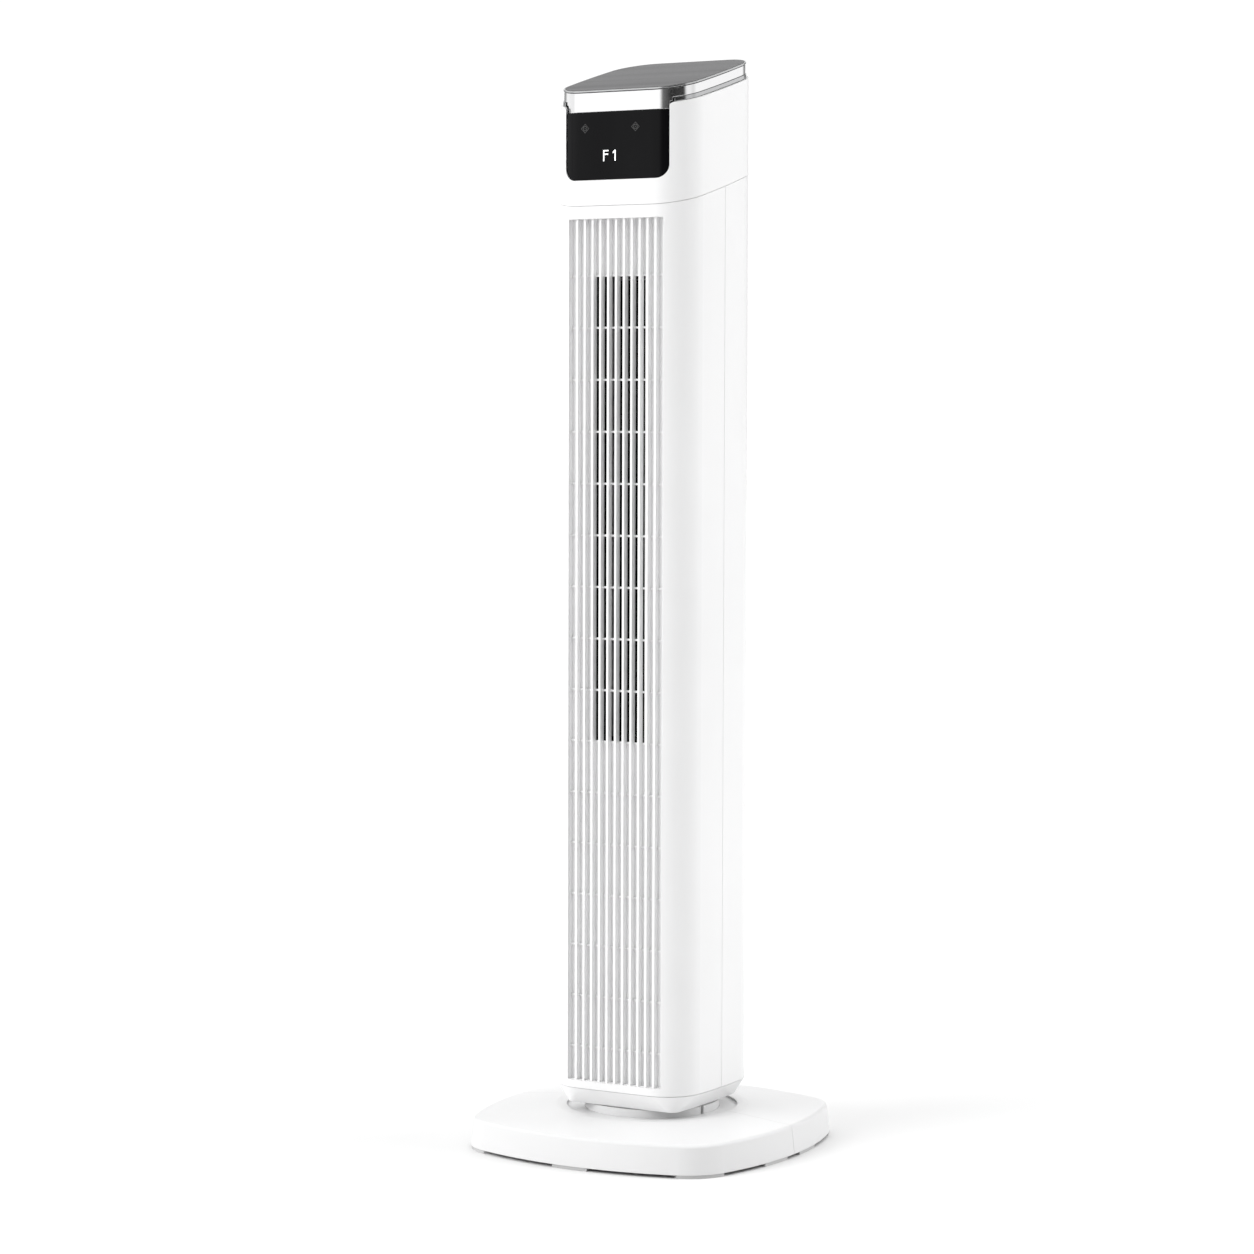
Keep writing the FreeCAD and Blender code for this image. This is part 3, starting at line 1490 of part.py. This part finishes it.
def build_fan():
    """Makes every sub-part, from the floor up."""
    base_half_shell("base_front_half", is_front=True)
    base_half_shell("base_rear_half", is_front=False)
    for make in (foot_pads, base_screws, collar, pivot_post, post_screws, slip_ring, swing_gear, post_clip,
                 cord_gland, skirt, pivot_bush, chassis_plate, chassis_screws, swing_motor, drive_pinion,
                 power_board, front_shell, rear_shell, carry_grip, casing_screws, front_grille, outlet_panel,
                 rear_grille, air_duct, motor_bulkhead, motor_housing, motor_cap, motor_stator,
                 motor_bearings, motor_screws, impeller_drum, drum_coupling, motor_shaft, motor_rotor,
                 impeller_pin, bearing_holder, top_bearing, head_shell, cap_frame, lens_frame,
                 display_lens, cap_band, trim_band, top_rim, top_panel, display_digits, touch_marks,
                 display_board, control_board):
        make()


# ---- writing ----

def check_document():
    """Stops if any object failed or any sub-part is empty or broken."""
    doc.recompute()
    failed = [thing.Label for thing in doc.Objects if "Invalid" in thing.State or "Error" in thing.State]
    if failed:
        raise RuntimeError("these did not build: %s" % ", ".join(failed))
    for piece in PIECES:
        if piece.Shape.isNull() or not piece.Shape.isValid() or not piece.Shape.Solids:
            raise RuntimeError("%s has no sound shape" % piece.Label)


def write_parts():
    os.makedirs("parts", exist_ok=True)
    for piece in PIECES:
        piece.Shape.exportStep("parts/%s.step" % piece.Label)
        box = piece.Shape.optimalBoundingBox(False)
        print("%-18s %2d solids  x %7.1f %7.1f  y %7.1f %7.1f  z %7.1f %7.1f  %9.0f mm3" % (
            piece.Label, len(piece.Shape.Solids), box.XMin, box.XMax, box.YMin, box.YMax,
            box.ZMin, box.ZMax, piece.Shape.Volume))


build_fan()
check_document()
write_parts()
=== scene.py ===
"""Looks of a white tower fan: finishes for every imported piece, studio floor, light and camera."""

import json
import math

import bpy
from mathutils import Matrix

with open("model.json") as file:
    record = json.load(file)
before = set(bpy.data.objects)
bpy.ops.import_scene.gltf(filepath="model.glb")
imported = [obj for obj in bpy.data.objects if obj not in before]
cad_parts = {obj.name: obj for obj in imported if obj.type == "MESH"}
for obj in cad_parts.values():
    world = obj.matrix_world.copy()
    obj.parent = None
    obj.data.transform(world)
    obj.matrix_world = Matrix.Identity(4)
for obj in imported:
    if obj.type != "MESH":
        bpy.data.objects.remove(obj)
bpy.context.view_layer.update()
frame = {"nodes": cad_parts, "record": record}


# ---------------------------------------------------------------- finishes

def fresh_finish(name):
    """A new material with its shader, and the object's own coordinates to paint from."""
    finish = bpy.data.materials.new(name)
    finish.use_nodes = True
    nodes, links = finish.node_tree.nodes, finish.node_tree.links
    shader = nodes["Principled BSDF"]
    place = nodes.new("ShaderNodeTexCoord")
    return finish, nodes, links, shader, place.outputs["Object"]


def grain(nodes, links, place, per_metre, detail=3.0, stretch=(1.0, 1.0, 1.0)):
    """Noise of so many cells to the metre, drawn out along an axis by a stretch below one."""
    mapping = nodes.new("ShaderNodeMapping")
    mapping.inputs["Scale"].default_value = stretch
    links.new(place, mapping.inputs["Vector"])
    noise = nodes.new("ShaderNodeTexNoise")
    noise.inputs["Scale"].default_value = per_metre
    noise.inputs["Detail"].default_value = detail
    links.new(mapping.outputs["Vector"], noise.inputs["Vector"])
    return noise.outputs["Fac"]


def tint_between(nodes, links, amount, low, high, dark, light):
    """Runs from a dark to a light tint as the amount goes from low to high."""
    ramp = nodes.new("ShaderNodeValToRGB")
    ramp.color_ramp.elements[0].position = low
    ramp.color_ramp.elements[1].position = high
    ramp.color_ramp.elements[0].color = (*dark, 1.0)
    ramp.color_ramp.elements[1].color = (*light, 1.0)
    links.new(amount, ramp.inputs["Fac"])
    return ramp.outputs["Color"]


def spread(nodes, links, amount, low, high):
    """Carries an amount of about 0.3 to 0.7 into the range from low to high."""
    carry = nodes.new("ShaderNodeMapRange")
    carry.inputs["From Min"].default_value = 0.3
    carry.inputs["From Max"].default_value = 0.7
    carry.inputs["To Min"].default_value = low
    carry.inputs["To Max"].default_value = high
    links.new(amount, carry.inputs["Value"])
    return carry.outputs["Result"]


def raise_by(nodes, links, amount, height, shader, edge=0.0):
    """Raises the surface by an amount, in metres, over edges rounded to a radius."""
    bump = nodes.new("ShaderNodeBump")
    bump.inputs["Distance"].default_value = height
    links.new(amount, bump.inputs["Height"])
    if edge > 0.0:
        rounding = nodes.new("ShaderNodeBevel")
        rounding.samples = 6
        rounding.inputs["Radius"].default_value = edge
        links.new(rounding.outputs["Normal"], bump.inputs["Normal"])
    links.new(bump.outputs["Normal"], shader.inputs["Normal"])


def moulded(name, dark, light, gloss, rough_by=0.04, grain_size=900.0, grain_height=0.00004, edge=0.0006,
            specular=0.5):
    """Moulded plastic: faint flow clouds in its tint, fine spark-eroded grain, softened edges."""
    finish, nodes, links, shader, place = fresh_finish(name)
    clouds = grain(nodes, links, place, 9.0, 2.0)
    links.new(tint_between(nodes, links, clouds, 0.3, 0.7, dark, light), shader.inputs["Base Color"])
    fine = grain(nodes, links, place, grain_size, 2.0)
    links.new(spread(nodes, links, fine, gloss - rough_by, gloss + rough_by), shader.inputs["Roughness"])
    raise_by(nodes, links, fine, grain_height, shader, edge)
    shader.inputs["Specular IOR Level"].default_value = specular
    return finish


def metal(name, dark, light, rough, stretch, per_metre=2200.0, height=0.00002, edge=0.0004):
    """Metal with drawn lines: noise stretched along the way it was brushed or turned."""
    finish, nodes, links, shader, place = fresh_finish(name)
    lines = grain(nodes, links, place, per_metre, 3.0, stretch)
    links.new(tint_between(nodes, links, lines, 0.3, 0.7, dark, light), shader.inputs["Base Color"])
    links.new(spread(nodes, links, lines, rough * 0.8, rough * 1.25), shader.inputs["Roughness"])
    raise_by(nodes, links, lines, height, shader, edge)
    shader.inputs["Metallic"].default_value = 1.0
    return finish


def polished(name, dark, light, rough):
    """Plated metal buffed to a mirror: only the faintest cloud in its tint and its gloss."""
    finish, nodes, links, shader, place = fresh_finish(name)
    clouds = grain(nodes, links, place, 14.0, 1.0)
    links.new(tint_between(nodes, links, clouds, 0.3, 0.7, dark, light), shader.inputs["Base Color"])
    links.new(spread(nodes, links, clouds, rough * 0.85, rough * 1.15), shader.inputs["Roughness"])
    raise_by(nodes, links, clouds, 0.00001, shader, 0.0006)
    shader.inputs["Metallic"].default_value = 1.0
    return finish


def drawn_roof(name):
    """Satin grey roof with soft darker streaks that run from left to right."""
    finish, nodes, links, shader, place = fresh_finish(name)
    streaks = grain(nodes, links, place, 55.0, 1.0, (0.03, 1.0, 0.1))
    links.new(tint_between(nodes, links, streaks, 0.35, 0.55, (0.030, 0.030, 0.032), (0.055, 0.055, 0.057)),
              shader.inputs["Base Color"])
    fine = grain(nodes, links, place, 900.0, 2.0)
    links.new(spread(nodes, links, fine, 0.30, 0.36), shader.inputs["Roughness"])
    raise_by(nodes, links, fine, 0.00002, shader, 0.0006)
    shader.inputs["Specular IOR Level"].default_value = 0.08
    return finish


def windings(name):
    """Varnished copper wire laid in level turns, a fine wave up the coil."""
    finish, nodes, links, shader, place = fresh_finish(name)
    wave = nodes.new("ShaderNodeTexWave")
    wave.bands_direction = "Z"
    wave.inputs["Scale"].default_value = 350.0
    wave.inputs["Distortion"].default_value = 0.4
    links.new(place, wave.inputs["Vector"])
    turns = tint_between(nodes, links, wave.outputs["Fac"], 0.1, 0.8, (0.20, 0.06, 0.02), (0.62, 0.27, 0.11))
    links.new(turns, shader.inputs["Base Color"])
    shader.inputs["Roughness"].default_value = 0.3
    shader.inputs["Metallic"].default_value = 0.7
    raise_by(nodes, links, wave.outputs["Fac"], 0.0003, shader)
    return finish


def circuit_board(name):
    """Green solder mask with lighter tracks, worn pads and a fine weave."""
    finish, nodes, links, shader, place = fresh_finish(name)
    brick = nodes.new("ShaderNodeTexBrick")
    brick.inputs["Scale"].default_value = 60.0
    brick.inputs["Mortar Size"].default_value = 0.03
    brick.inputs["Color1"].default_value = (0.012, 0.11, 0.035, 1.0)
    brick.inputs["Color2"].default_value = (0.02, 0.14, 0.05, 1.0)
    brick.inputs["Mortar"].default_value = (0.09, 0.30, 0.12, 1.0)
    links.new(place, brick.inputs["Vector"])
    links.new(brick.outputs["Color"], shader.inputs["Base Color"])
    fine = grain(nodes, links, place, 1500.0)
    links.new(spread(nodes, links, fine, 0.25, 0.45), shader.inputs["Roughness"])
    raise_by(nodes, links, brick.outputs["Fac"], 0.00005, shader)
    return finish


def smoked_glass(name):
    """The dark polished window: near black, with the faintest haze and wiping marks in its gloss."""
    finish, nodes, links, shader, place = fresh_finish(name)
    haze = grain(nodes, links, place, 30.0, 4.0, (1.0, 1.0, 0.25))
    tint = tint_between(nodes, links, haze, 0.3, 0.7, (0.0025, 0.0025, 0.003), (0.0045, 0.0045, 0.005))
    links.new(tint, shader.inputs["Base Color"])
    links.new(spread(nodes, links, haze, 0.03, 0.09), shader.inputs["Roughness"])
    raise_by(nodes, links, haze, 0.00001, shader, 0.0008)
    shader.inputs["Specular IOR Level"].default_value = 0.1
    return finish


def lit_figure(name):
    """A lit reading: even white light with a slight unevenness from the diodes behind it."""
    finish, nodes, links, shader, place = fresh_finish(name)
    patches = grain(nodes, links, place, 220.0, 1.0)
    glow = tint_between(nodes, links, patches, 0.3, 0.7, (0.86, 0.88, 0.90), (1.0, 1.0, 1.0))
    links.new(glow, shader.inputs["Base Color"])
    links.new(glow, shader.inputs["Emission Color"])
    shader.inputs["Emission Strength"].default_value = 0.9
    return finish


FINISHES = {
    "white_shell": moulded("white shell", (0.735, 0.735, 0.737), (0.755, 0.755, 0.757), 0.34),
    "base_white": moulded("white base", (0.635, 0.635, 0.637), (0.655, 0.655, 0.657), 0.32),
    # The skirt is the same white plastic as the shell, tinted lighter: painted bounce light from the floor on
    # its down-facing surface.
    "skirt_painted_bounce": moulded("white skirt with painted bounce light", (0.86, 0.86, 0.862), (0.88, 0.88, 0.882), 0.34),
    "grille_white": moulded("white grille", (0.82, 0.82, 0.822), (0.84, 0.84, 0.842), 0.5,
                            grain_height=0.000008, edge=0.0, specular=0.3),
    "panel_white": moulded("pale outlet panel", (0.80, 0.80, 0.802), (0.82, 0.82, 0.822), 0.6),
    "duct_grey": moulded("dark duct plastic", (0.004, 0.004, 0.0045), (0.006, 0.006, 0.0065), 0.6, edge=0.0,
                         specular=0.1),
    "foot_rubber": moulded("pale foot rubber", (0.42, 0.42, 0.42), (0.52, 0.52, 0.52), 0.75,
                           grain_height=0.0002),
    "screw_steel": metal("zinc plated screw", (0.55, 0.55, 0.56), (0.72, 0.72, 0.73), 0.3, (1.0, 1.0, 0.2)),
    # The inner frame is black plastic. Where it shows in the narrow gaps around the cap and the ears, its
    # black also paints the shade in those gaps.
    "frame_black": moulded("black inner frame and painted gap shade", (0.012, 0.012, 0.013), (0.018, 0.018, 0.019), 0.5),
    "lens_black": smoked_glass("smoked display window"),
    "digit_white": lit_figure("lit reading"),
    "mark_grey": moulded("printed touch mark", (0.07, 0.07, 0.07), (0.10, 0.10, 0.10), 0.4),
    # The cap's chrome is tinted much lighter than the trim's chrome: a painted highlight standing in for the
    # white reflection along the cap.
    "band_bright": polished("chrome cap lightened for painted reflection", (0.86, 0.86, 0.865), (0.88, 0.88, 0.885), 0.14),
    "trim_chrome": polished("polished chrome trim", (0.50, 0.505, 0.51), (0.54, 0.545, 0.55), 0.16),
    "panel_grey": drawn_roof("satin grey roof"),
    "acetal": moulded("natural acetal", (0.66, 0.65, 0.61), (0.74, 0.73, 0.69), 0.42),
    "gear_acetal": moulded("gear acetal", (0.62, 0.60, 0.54), (0.70, 0.68, 0.62), 0.4),
    "plate_steel": metal("galvanised sheet", (0.48, 0.49, 0.50), (0.62, 0.63, 0.64), 0.4, (1.0, 0.1, 1.0),
                         300.0),
    "motor_steel": moulded("enamelled motor case", (0.05, 0.05, 0.055), (0.08, 0.08, 0.085), 0.45),
    "stator_copper": windings("wound copper"),
    "bronze": metal("sintered bronze", (0.45, 0.28, 0.12), (0.62, 0.42, 0.20), 0.45, (1.0, 1.0, 1.0), 1800.0),
    "impeller_black": moulded("black impeller plastic", (0.003, 0.003, 0.0035), (0.005, 0.005, 0.0055), 0.6,
                              edge=0.0, specular=0.05),
    "rubber_black": moulded("soft black rubber", (0.010, 0.010, 0.010), (0.018, 0.018, 0.018), 0.75,
                            grain_height=0.0002),
    "board_green": circuit_board("circuit board"),
}


def dress_nodes():
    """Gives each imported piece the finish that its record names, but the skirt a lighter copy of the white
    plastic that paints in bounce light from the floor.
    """
    for part in frame["record"]["subparts"]:
        thing = frame["nodes"][part["node"]]
        # The skirt takes the lightened copy with painted bounce light in place of its record's finish.
        finish = FINISHES["skirt_painted_bounce" if part["node"] == "skirt" else part["material_slot"]]
        if thing.material_slots:
            for slot in thing.material_slots:
                slot.material = finish
        else:
            thing.data.materials.append(finish)


# ---------------------------------------------------------------- studio

def sheet_mesh(name, corners):
    """One flat four-cornered face."""
    mesh = bpy.data.meshes.new(name)
    mesh.from_pydata(corners, [], [(0, 1, 2, 3)])
    thing = bpy.data.objects.new(name, mesh)
    bpy.context.scene.collection.objects.link(thing)
    return thing


def studio_floor():
    """A wide pale floor, evenly matt."""
    reach = 30.0
    corners = [(-reach, -reach, 0), (reach, -reach, 0), (reach, reach, 0), (-reach, reach, 0)]
    floor = sheet_mesh("floor", corners)
    finish, nodes, links, shader, place = fresh_finish("pale floor")
    speckle = grain(nodes, links, place, 3.0)
    links.new(tint_between(nodes, links, speckle, 0.3, 0.7, (0.70, 0.70, 0.70), (0.72, 0.72, 0.72)),
              shader.inputs["Base Color"])
    shader.inputs["Roughness"].default_value = 0.9
    shader.inputs["Specular IOR Level"].default_value = 0.1
    floor.data.materials.append(finish)


# Brightness of the room's wall by compass turn from the front, in degrees towards the right. The two dim
# strips on either side of straight behind the column draw a faint outline along its sides.
ROOM = (
    (-180, 0.30), (-169, 0.30), (-163, 1.05), (-137, 1.05), (-131, 0.30), (-112, 0.40), (-100, 1.03),
    (-62, 0.95), (-56, 1.20), (-6, 1.20), (8, 0.12), (34, 0.02), (74, 0.03), (84, 0.95), (96, 0.95),
    (108, 0.80), (122, 1.05), (164, 1.05), (171, 0.30), (180, 0.30))
CEILING = 0.88
CEILING_BEGINS, CEILING_WHOLE = 0.55, 0.92  # sines of the heights between which the wall gives way to it


def room_light():
    """The room's wall and ceiling: bright behind and at both sides, dim where the camera stands.

    The wall's brightness is a ramp over the compass turn atan2(x, -y) of the direction. It gives way to an
    even ceiling higher up, by a smooth step over the sine of the height, and reaches down below the floor.
    """
    world = bpy.data.worlds.new("white room")
    bpy.context.scene.world = world
    world.use_nodes = True
    nodes, links = world.node_tree.nodes, world.node_tree.links
    way = nodes.new("ShaderNodeTexCoord")
    parts = nodes.new("ShaderNodeSeparateXYZ")
    links.new(way.outputs["Generated"], parts.inputs["Vector"])
    front = nodes.new("ShaderNodeMath")
    front.operation = "MULTIPLY"
    front.inputs[1].default_value = -1.0
    links.new(parts.outputs["Y"], front.inputs[0])
    turn = nodes.new("ShaderNodeMath")
    turn.operation = "ARCTAN2"
    links.new(parts.outputs["X"], turn.inputs[0])
    links.new(front.outputs["Value"], turn.inputs[1])
    share = nodes.new("ShaderNodeMapRange")
    share.inputs["From Min"].default_value = -math.pi
    share.inputs["From Max"].default_value = math.pi
    links.new(turn.outputs["Value"], share.inputs["Value"])
    ramp = nodes.new("ShaderNodeValToRGB")
    ramp.color_ramp.interpolation = "EASE"
    stops = ramp.color_ramp.elements
    while len(stops) < len(ROOM):
        stops.new(0.5)
    for stop, (degrees, level) in zip(stops, ROOM):
        stop.position = (degrees + 180.0) / 360.0
        stop.color = (level, level, level, 1.0)
    links.new(share.outputs["Result"], ramp.inputs["Fac"])
    height = nodes.new("ShaderNodeMapRange")
    height.interpolation_type = "SMOOTHSTEP"
    height.inputs["From Min"].default_value = CEILING_BEGINS
    height.inputs["From Max"].default_value = CEILING_WHOLE
    links.new(parts.outputs["Z"], height.inputs["Value"])
    mix = nodes.new("ShaderNodeMix")
    mix.data_type = "RGBA"
    mix.inputs["B"].default_value = (CEILING, CEILING, CEILING, 1.0)
    links.new(height.outputs["Result"], mix.inputs["Factor"])
    links.new(ramp.outputs["Color"], mix.inputs["A"])
    room = nodes["Background"]
    links.new(mix.outputs["Result"], room.inputs["Color"])
    room.inputs["Strength"].default_value = 1.0


def far_lamp(name, turn, height, width, strength):
    """An even light from far off, at a compass turn and height, as wide as an angle, in degrees."""
    lamp = bpy.data.lights.new(name, "SUN")
    lamp.angle = math.radians(width)
    lamp.energy = strength
    thing = bpy.data.objects.new(name, lamp)
    bpy.context.scene.collection.objects.link(thing)
    thing.rotation_euler = (math.radians(90.0 - height), 0.0, math.radians(turn))
    thing.visible_glossy = False


def studio_light():
    """The room, a key and a fill light from both sides, and soft light from straight above."""
    room_light()
    far_lamp("key from the left", -32.0, 25.0, 36.0, 1.78)
    far_lamp("fill from the right", 122.0, 25.0, 36.0, 1.22)
    far_lamp("ceiling", 0.0, 90.0, 100.0, 1.30)


FOCAL_LENGTH = 99.04  # millimetres, on a sensor 36 mm wide
CAMERA_PLACE = (1.57801, -2.74760, 0.67138)
CAMERA_DOWN, CAMERA_ROLL, CAMERA_LEFT = 3.514, -0.148, 30.32  # degrees from level, upright and straight ahead


def studio_camera():
    """Long lens from the front right, a little above the middle of the column and looking slightly down."""
    lens = bpy.data.cameras.new("camera")
    lens.sensor_width = 36.0
    lens.lens = FOCAL_LENGTH
    lens.clip_start = 0.05
    thing = bpy.data.objects.new("camera", lens)
    bpy.context.scene.collection.objects.link(thing)
    thing.location = CAMERA_PLACE
    turns = (90.0 - CAMERA_DOWN, CAMERA_ROLL, CAMERA_LEFT)
    thing.rotation_euler = [math.radians(turn) for turn in turns]
    bpy.context.scene.camera = thing


studio_camera()
dress_nodes()
studio_floor()
studio_light()
bpy.context.scene.view_settings.view_transform = "Standard"
